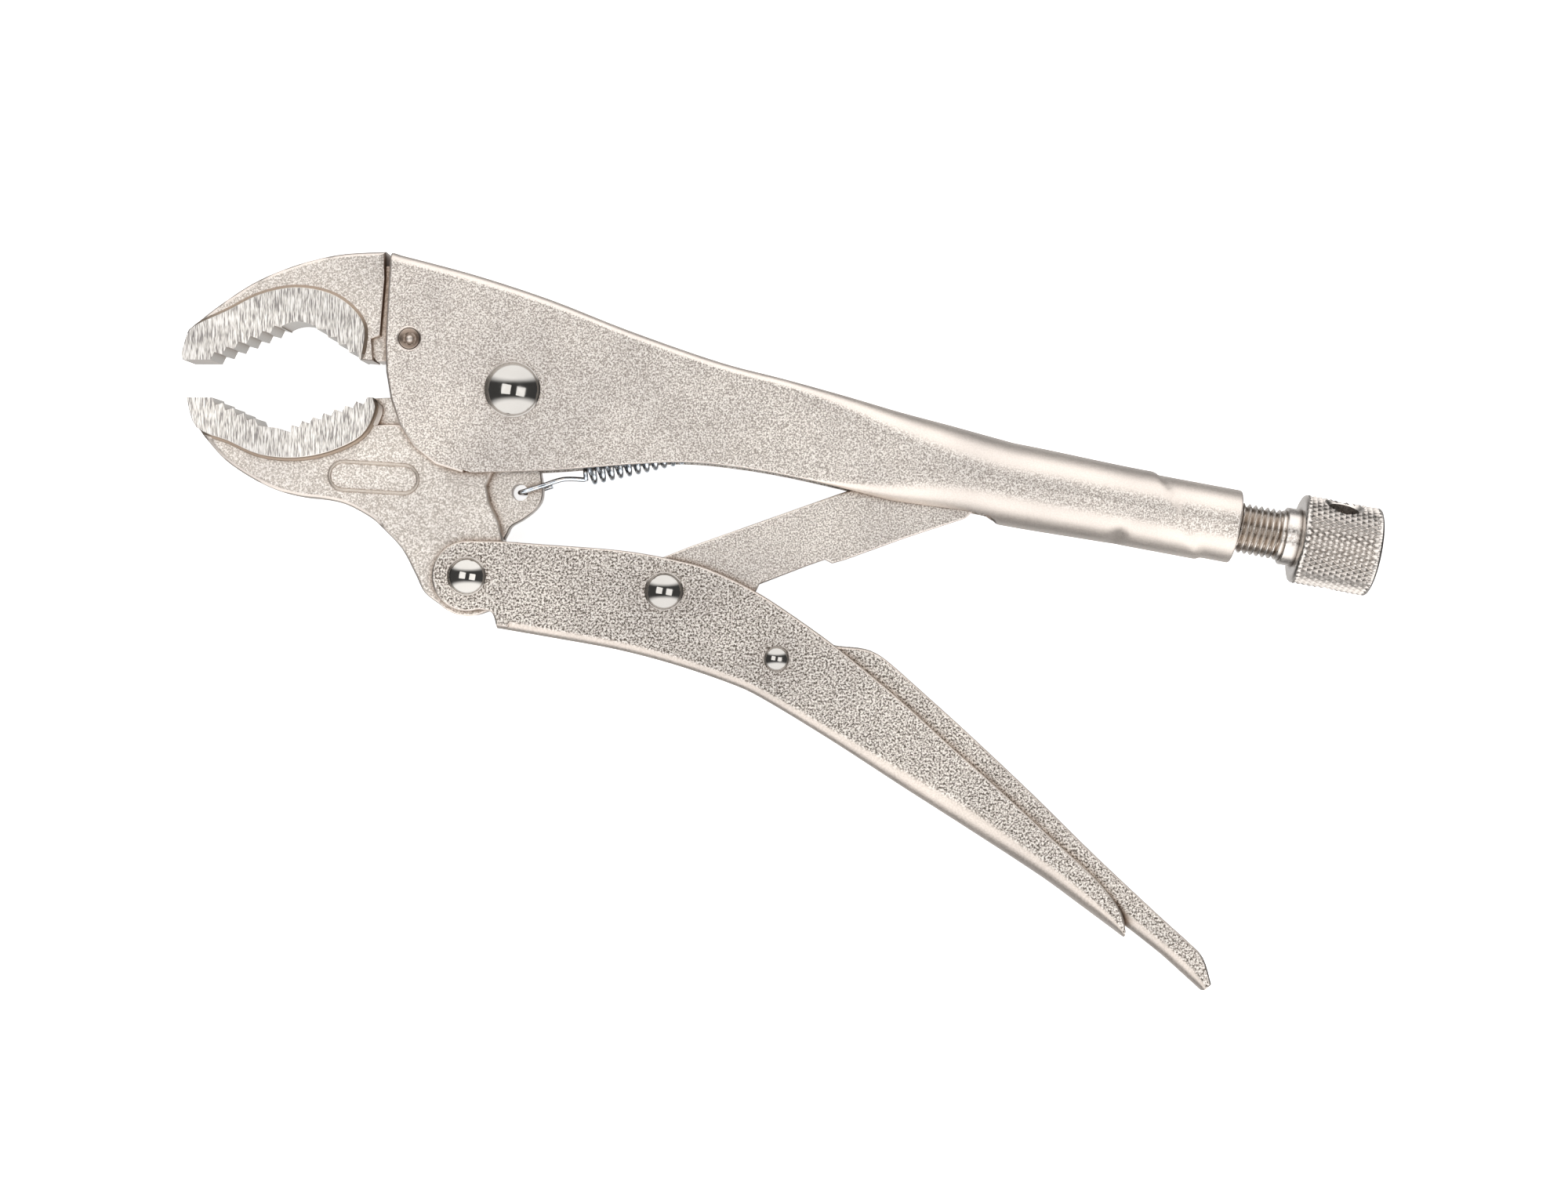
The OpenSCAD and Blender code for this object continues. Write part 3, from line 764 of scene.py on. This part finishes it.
def knurl(s, turn):
    """Height of the diamond knurl, from 0 in its grooves to 1 on its points."""
    around = turn * KNURL_COUNT / (2 * math.pi)
    down = s / KNURL_LEN
    waves = [abs(((around + sign * down) % 1) * 2 - 1) for sign in (1, -1)]
    return 1 - max(waves)


def knurled_knob():
    sides = KNURL_COUNT * 8
    chamfer = 1.0
    profile = [(NECK_FRONT, 0.01), (NECK_FRONT, NECK_R - 0.2), (NECK_FRONT + 0.2, NECK_R),
               (KNOB_FRONT, NECK_R), (KNOB_FRONT, KNOB_R - chamfer - 0.2)]
    loops = [[about_screw(t, r, 2 * math.pi * k / sides) for k in range(sides)] for t, r in profile]
    count = int(KNOB_LEN / KNURL_LEN * 8)
    for i in range(count + 1):
        t = KNOB_LEN * i / count
        edge = min(t, KNOB_LEN - t)
        round_in = chamfer - math.sqrt(max(chamfer ** 2 - max(chamfer - edge, 0) ** 2, 0))
        deep = KNURL_DEPTH * ease(edge, 0.5, 1.4)
        loop = []
        for k in range(sides):
            a = 2 * math.pi * k / sides
            r = KNOB_R - round_in - deep * (1 - knurl(t, a))
            loop.append(about_screw(KNOB_FRONT + t, r, a))
        loops.append(loop)
    rear = KNOB_FRONT + KNOB_LEN
    loops.append([about_screw(rear, 0.01, 2 * math.pi * k / sides) for k in range(sides)])
    knob = rings("knurled_knob_diamond", loops)
    bore = [(NECK_FRONT - 1, SCREW_R + TURN_GAP / 2), (SHANK_END + TURN_GAP, SCREW_R + TURN_GAP / 2)]
    knob = cut(knob, lathe("knob_bore", bore, about_screw, 64), cross_hole())
    return finish_piece(knob, KNURLED, "knurled_knob", "knob", 38)


def cross_hole():
    """The hole through the knob, with a countersink at each mouth."""
    up = Vector((-math.sin(SCREW_ANGLE), math.cos(SCREW_ANGLE), 0))
    axis = up * math.cos(CROSS_TILT) + Vector((0, 0, math.sin(CROSS_TILT)))
    side = Vector((math.cos(SCREW_ANGLE), math.sin(SCREW_ANGLE), 0))
    other = axis.cross(side)
    p = on_screw(CROSS_AT)
    middle = Vector((p.x, p.y, 0))
    loops = []
    mouth = KNOB_R - 1.3
    for t, r in ((-12, 7.25), (-mouth, CROSS_R), (mouth, CROSS_R), (12, 7.25)):
        turns = [2 * math.pi * k / 64 for k in range(64)]
        loops.append([middle + axis * t + r * (side * math.cos(a) + other * math.sin(a)) for a in turns])
    return rings("cross", loops)


# ---- return spring ----

COIL_FROM = Vector((14.6, -17.1, 0))
COIL_ANGLE = math.radians(13)
COIL_PITCH = 1.84
COIL_TURNS = 17
COIL_R = 2.0
COIL_STEPS = 28
WIRE_R = 0.5


def coil_at(turns):
    a = 2 * math.pi * turns
    ahead = Vector((math.cos(COIL_ANGLE), math.sin(COIL_ANGLE), 0))
    up = Vector((-math.sin(COIL_ANGLE), math.cos(COIL_ANGLE), 0))
    around = up * math.sin(a) + Vector((0, 0, math.cos(a)))
    return COIL_FROM + ahead * COIL_PITCH * turns + around * COIL_R


def return_spring():
    front = smooth([(7.4, -19.4, -3.1), (4.8, -20.2, -3.2), (2.4, -20.8, -3.2), (1.2, -20.9, -2.0),
                    (1.1, -20.9, 0), (1.2, -20.9, 2.0), (2.4, -20.6, 3.2), (6, -19.5, 3.3),
                    (10.2, -18.2, 2.7), coil_at(-0.1)], 8)
    rear = smooth([coil_at(COIL_TURNS + 0.1), (47.6, -9.5, 1.8), (49.3, -9.5, 1.7), (50, -9.5, 0.9),
                   (50, -9.5, -0.9), (49.2, -9.6, -1.7), (47.8, -9.9, -1.8)], 8)
    path = front + [coil_at(i / COIL_STEPS) for i in range(COIL_TURNS * COIL_STEPS + 1)] + rear
    loops = []
    side = Vector((0, 1, 0.2))
    for i, p in enumerate(path):
        t = (path[min(i + 1, len(path) - 1)] - path[max(i - 1, 0)]).normalized()
        side = (side - t * side.dot(t)).normalized()
        other = t.cross(side)
        turns = [2 * math.pi * k / 12 for k in range(12)]
        loops.append([p + WIRE_R * (side * math.cos(a) + other * math.sin(a)) for a in turns])
    spring = rings("return_spring_wire", loops)
    for p in spring.data.polygons:
        p.use_smooth = True
    spring.data.set_sharp_from_angle(angle=math.radians(50))
    spring.data.materials.append(ZINC)
    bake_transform(spring)
    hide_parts("return_spring")
    return spring


# ---- materials ----

def shader(name):
    material = bpy.data.materials.new(name)
    material.use_nodes = True
    nodes = material.node_tree.nodes
    return material, nodes, material.node_tree.links, nodes["Principled BSDF"]


def noise(nodes, links, coord, scale, detail=3.0, rough=0.6):
    n = nodes.new("ShaderNodeTexNoise")
    n.inputs["Scale"].default_value = scale
    n.inputs["Detail"].default_value = detail
    n.inputs["Roughness"].default_value = rough
    links.new(coord, n.inputs["Vector"])
    return n.outputs["Fac"]


def ramp(nodes, links, source, stops):
    r = nodes.new("ShaderNodeValToRGB")
    r.color_ramp.elements[0].position = stops[0][0]
    r.color_ramp.elements[0].color = (*stops[0][1], 1)
    r.color_ramp.elements[1].position = stops[-1][0]
    r.color_ramp.elements[1].color = (*stops[-1][1], 1)
    for position, colour in stops[1:-1]:
        r.color_ramp.elements.new(position).color = (*colour, 1)
    links.new(source, r.inputs["Fac"])
    return r.outputs["Color"]


def spread(nodes, links, source, low, high):
    m = nodes.new("ShaderNodeMapRange")
    m.inputs["From Min"].default_value = 0.3
    m.inputs["From Max"].default_value = 0.7
    m.inputs["To Min"].default_value = low
    m.inputs["To Max"].default_value = high
    links.new(source, m.inputs["Value"])
    return m.outputs["Result"]


def multiply(nodes, links, a, b):
    m = nodes.new("ShaderNodeMix")
    m.data_type = "RGBA"
    m.blend_type = "MULTIPLY"
    m.inputs["Factor"].default_value = 1.0
    links.new(a, m.inputs["A"])
    links.new(b, m.inputs["B"])
    return m.outputs["Result"]


def bump(nodes, links, shader_node, source, strength, depth):
    b = nodes.new("ShaderNodeBump")
    b.inputs["Strength"].default_value = strength
    b.inputs["Distance"].default_value = depth
    links.new(source, b.inputs["Height"])
    links.new(b.outputs["Normal"], shader_node.inputs["Normal"])


def between(nodes, links, source, low, high, at_low, at_high):
    """Smoothly from at_low to at_high as source goes from low to high."""
    m = nodes.new("ShaderNodeMapRange")
    m.interpolation_type = "SMOOTHSTEP"
    m.inputs["From Min"].default_value = low
    m.inputs["From Max"].default_value = high
    m.inputs["To Min"].default_value = at_low
    m.inputs["To Max"].default_value = at_high
    links.new(source, m.inputs["Value"])
    return m.outputs["Result"]


def combined(nodes, links, operation, *sources):
    m = nodes.new("ShaderNodeMath")
    m.operation = operation
    for source, socket in zip(sources, m.inputs):
        links.new(source, socket)
    return m.outputs["Value"]


def flatness(nodes, links, normal):
    """1 on faces that lie flat against the stamping die, less on bends and edges."""
    split = nodes.new("ShaderNodeSeparateXYZ")
    links.new(normal, split.inputs["Vector"])
    upright = combined(nodes, links, "ABSOLUTE", split.outputs["Z"])
    return between(nodes, links, upright, 0.90, 0.995, 0.15, 1.0)


def blend(nodes, links, smooth_colour, speckle, factor):
    m = nodes.new("ShaderNodeMix")
    m.data_type = "RGBA"
    links.new(factor, m.inputs["Factor"])
    m.inputs["A"].default_value = (*smooth_colour, 1)
    links.new(speckle, m.inputs["B"])
    return m.outputs["Result"]


def crevice_grime_and_shade(nodes, links, tint, reach):
    """Darkens narrow corners towards tint by ambient occlusion: partly grime in the seams, partly painted
    shade.
    """
    ao = nodes.new("ShaderNodeAmbientOcclusion")
    ao.samples = 8
    ao.inputs["Distance"].default_value = reach
    return ramp(nodes, links, ao.outputs["AO"], [(0.35, tint), (0.95, (1, 1, 1))])


def grained(name, colour, dark, grain, depth, rough, stretch=(1, 1, 1), grime_and_shade_tint=(0.45, 0.34, 0.26),
            pale=(1.0, 0.95, 0.89), reach=0.0016):
    """Plated steel with a blasted grain; grain is the size of its speckle in metres. Its narrow corners
    darken towards a corner tint: partly grime, partly painted shade.
    """
    material, nodes, links, bsdf = shader(name)
    place = nodes.new("ShaderNodeTexCoord")
    coord = place.outputs["Object"]
    scaled = nodes.new("ShaderNodeMapping")
    scaled.inputs["Scale"].default_value = stretch
    links.new(coord, scaled.inputs["Vector"])
    fine = noise(nodes, links, scaled.outputs["Vector"], 1 / grain, 2.0, 0.7)
    wide = noise(nodes, links, coord, 38, 2)
    flat = flatness(nodes, links, place.outputs["Normal"])
    speckle = ramp(nodes, links, fine, [(0.40, dark), (0.5, colour), (0.60, pale)])
    speckle = blend(nodes, links, colour, speckle, flat)
    cloud = ramp(nodes, links, wide, [(0.3, (0.78, 0.78, 0.79)), (0.7, (1, 1, 1))])
    tone = multiply(nodes, links, speckle, cloud)
    # partly grime, partly painted shade: narrow corners and recesses darken towards the corner tint
    tone = multiply(nodes, links, tone, crevice_grime_and_shade(nodes, links, grime_and_shade_tint, reach))
    links.new(tone, bsdf.inputs["Base Color"])
    links.new(spread(nodes, links, fine, rough - 0.07, rough + 0.07), bsdf.inputs["Roughness"])
    bump(nodes, links, bsdf, combined(nodes, links, "MULTIPLY", fine, flat), 0.7, depth)
    bsdf.inputs["Metallic"].default_value = 1.0
    return material


# The corner tint of each finish darkens its narrow corners, thread roots and knurl grooves: partly grime,
# partly painted shade.
SHEET = grained("blasted nickel sheet", (0.72, 0.65, 0.59), (0.40, 0.35, 0.31), 0.00034, 0.00005, 0.44)
COARSE_SHEET = grained("coarse nickel sheet", (0.64, 0.57, 0.51), (0.13, 0.11, 0.09), 0.00042, 0.00010, 0.44)
FORGED = grained("forged nickel", (0.70, 0.63, 0.57), (0.46, 0.41, 0.36), 0.00036, 0.00004, 0.42)
GROUND = grained("ground grip", (0.68, 0.64, 0.59), (0.26, 0.24, 0.23), 0.00030, 0.00004, 0.40,
                 stretch=(1.0, 0.09, 1), pale=(0.94, 0.91, 0.87))
BORDER = grained("raised border", (0.52, 0.46, 0.40), (0.36, 0.31, 0.27), 0.00036, 0.00003, 0.42,
                 pale=(0.62, 0.56, 0.50))
# painted shade: a dark brown material for the step between grip pad and flank, where shade falls
STEP_PAINTED_SHADE = grained("painted step shade", (0.36, 0.29, 0.23), (0.22, 0.17, 0.13), 0.0005, 0.00003, 0.45,
               pale=(0.50, 0.42, 0.35))
POLISHED = grained("polished rivet", (0.48, 0.46, 0.43), (0.45, 0.43, 0.40), 0.004, 0.000001, 0.10,
                   grime_and_shade_tint=(0.3, 0.2, 0.14), pale=(0.51, 0.49, 0.46))
WELD = grained("plated weld", (0.36, 0.29, 0.24), (0.16, 0.13, 0.10), 0.0006, 0.00006, 0.45,
               pale=(0.52, 0.45, 0.39))
ZINC = grained("zinc wire", (0.74, 0.80, 0.86), (0.55, 0.60, 0.66), 0.0012, 0.00001, 0.24)
THREAD = grained("rolled thread", (0.72, 0.67, 0.62), (0.50, 0.44, 0.39), 0.0007, 0.00002, 0.30,
                 grime_and_shade_tint=(0.34, 0.27, 0.21), reach=0.0007)
KNURLED = grained("plated knurl", (0.72, 0.67, 0.62), (0.50, 0.45, 0.41), 0.0006, 0.00002, 0.30,
                  grime_and_shade_tint=(0.16, 0.12, 0.09), reach=0.0009)


def grind_grips(jaw, back, rest, flank_half):
    """Gives the ground grip's faces and teeth their own finish, and paints shade on the step behind them
    with a dark material.
    """
    jaw.data.materials.append(GROUND)
    jaw.data.materials.append(STEP_PAINTED_SHADE)
    jaw.data.materials.append(BORDER)
    ground = list(back) + vectors(rest)
    for face in jaw.data.polygons:
        c = (face.center - MAIN) / MM
        if near(c, rest, 1.0) or (abs(c.z) > GRIP_HALF - 0.2 and inside(c, ground)):
            face.material_index = 1
        elif abs(c.z) > flank_half + 0.01 and near_cartouche(c):
            face.material_index = 3
        elif abs(c.z) > flank_half + 0.01:
            # painted shade: faces within 1.9 mm of the pad's back edge take the dark step material
            face.material_index = 2 if near(c, back, 1.9) else 1


def near_cartouche(p):
    reach = (CARTOUCHE_SIZE[0] / 2 + 0.8, CARTOUCHE_SIZE[1] / 2 + 0.9)
    return abs(p.x - CARTOUCHE_AT[0]) < reach[0] and abs(p.y - CARTOUCHE_AT[1]) < reach[1]


def near(p, line, reach):
    return min((Vector((p.x, p.y)) - Vector(q)).length for q in line) < reach


def inside(p, outline):
    hit = False
    n = len(outline)
    for i in range(n):
        a, b = outline[i - 1], outline[i]
        if (a.y > p.y) != (b.y > p.y) and p.x < (b.x - a.x) * (p.y - a.y) / (b.y - a.y) + a.x:
            hit = not hit
    return hit


# ---- stage ----

OVERHEAD_GLOW = 0.10
SIDE_GLOW = 2.0
BACKDROP_GLOW = 0.8
FLOOR_GLOW = 0.75
SOFTBOX_SIZE = 0.52
SOFTBOX_HEIGHT = 0.85
SOFTBOX_POWER = 1.75
CAMERA_HEIGHT = 0.57
CAMERA_LENS = 63.4


def stage():
    mesh = bpy.data.meshes.new("floor")
    far = 3.0
    mesh.from_pydata([(-far, -far, 0), (far, -far, 0), (far, far, 0), (-far, far, 0)], [], [(0, 1, 2, 3)])
    floor = bpy.data.objects.new("floor", mesh)
    bpy.context.scene.collection.objects.link(floor)
    material, _, _, bsdf = shader("pale floor")
    bsdf.inputs["Base Color"].default_value = (0.93, 0.93, 0.93, 1)
    bsdf.inputs["Roughness"].default_value = 0.9
    bsdf.inputs["Emission Color"].default_value = (1, 1, 1, 1)
    bsdf.inputs["Emission Strength"].default_value = FLOOR_GLOW
    mesh.materials.append(material)
    floor.visible_glossy = False


def sky():
    """Bright in front and behind, dark overhead and just below the horizon, pale straight below."""
    world = bpy.data.worlds.new("studio")
    bpy.context.scene.world = world
    world.use_nodes = True
    nodes, links = world.node_tree.nodes, world.node_tree.links
    coord = nodes.new("ShaderNodeTexCoord")
    split = nodes.new("ShaderNodeSeparateXYZ")
    links.new(coord.outputs["Generated"], split.inputs["Vector"])
    sideways = combined(nodes, links, "ABSOLUTE", split.outputs["Y"])
    sides = between(nodes, links, sideways, 0.34, 0.66, OVERHEAD_GLOW, SIDE_GLOW)
    height = between(nodes, links, split.outputs["Z"], -0.25, 0.02, 0.12, 1.0)
    below = between(nodes, links, split.outputs["Z"], -0.9, -0.6, BACKDROP_GLOW, 0.0)
    above = combined(nodes, links, "MULTIPLY", sides, height)
    nodes["Background"].inputs["Color"].default_value = (1, 1, 1, 1)
    links.new(combined(nodes, links, "ADD", above, below), nodes["Background"].inputs["Strength"])
    bpy.context.scene.view_settings.view_transform = "Standard"


def softbox(name, x, y):
    lamp = bpy.data.lights.new(name, "AREA")
    lamp.shape = "SQUARE"
    lamp.size = SOFTBOX_SIZE
    lamp.energy = SOFTBOX_POWER
    obj = bpy.data.objects.new(name, lamp)
    obj.location = (x, y, SOFTBOX_HEIGHT)
    obj.rotation_euler = (-obj.location).to_track_quat("-Z", "Y").to_euler()
    bpy.context.scene.collection.objects.link(obj)


def camera():
    lens = bpy.data.cameras.new("camera")
    lens.sensor_width = 36
    lens.lens = CAMERA_LENS
    lens.clip_start = 0.01
    obj = bpy.data.objects.new("camera", lens)
    obj.location = (-0.0001, 0.0068, MAIN.z + CAMERA_HEIGHT)
    bpy.context.scene.collection.objects.link(obj)
    bpy.context.scene.camera = obj


camera()
stage()
sky()
softbox("softbox left", -0.40, 0.07)
softbox("softbox right", 0.40, -0.07)
fixed_handle()
grind_grips(fixed_jaw(), UPPER_PAD, UPPER_BITE + vectors(UPPER_TIP), HEAD_HALF)
weld_plugs()
rivet("jaw_pivot_rivet", "fixed", (0, 0), BODY_HALF, MAIN_RIVET)
grind_grips(moving_jaw(), LOWER_PAD, vectors(LOWER_TIP) + LOWER_BITE, ARM_HALF)
moving_handle()
rivet("jaw_handle_rivet", "handle", pivot("handle_pivot"), HANDLE_HALF, HANDLE_RIVET)
rivet("link_rivet", "handle", pivot("link_pivot"), HANDLE_HALF, HANDLE_RIVET)
rivet("lever_rivet", "handle", pivot("lever_pivot"), HANDLE_HALF, LEVER_RIVET)
toggle_link()
release_lever()
adjusting_screw()
knurled_knob()
return_spring()
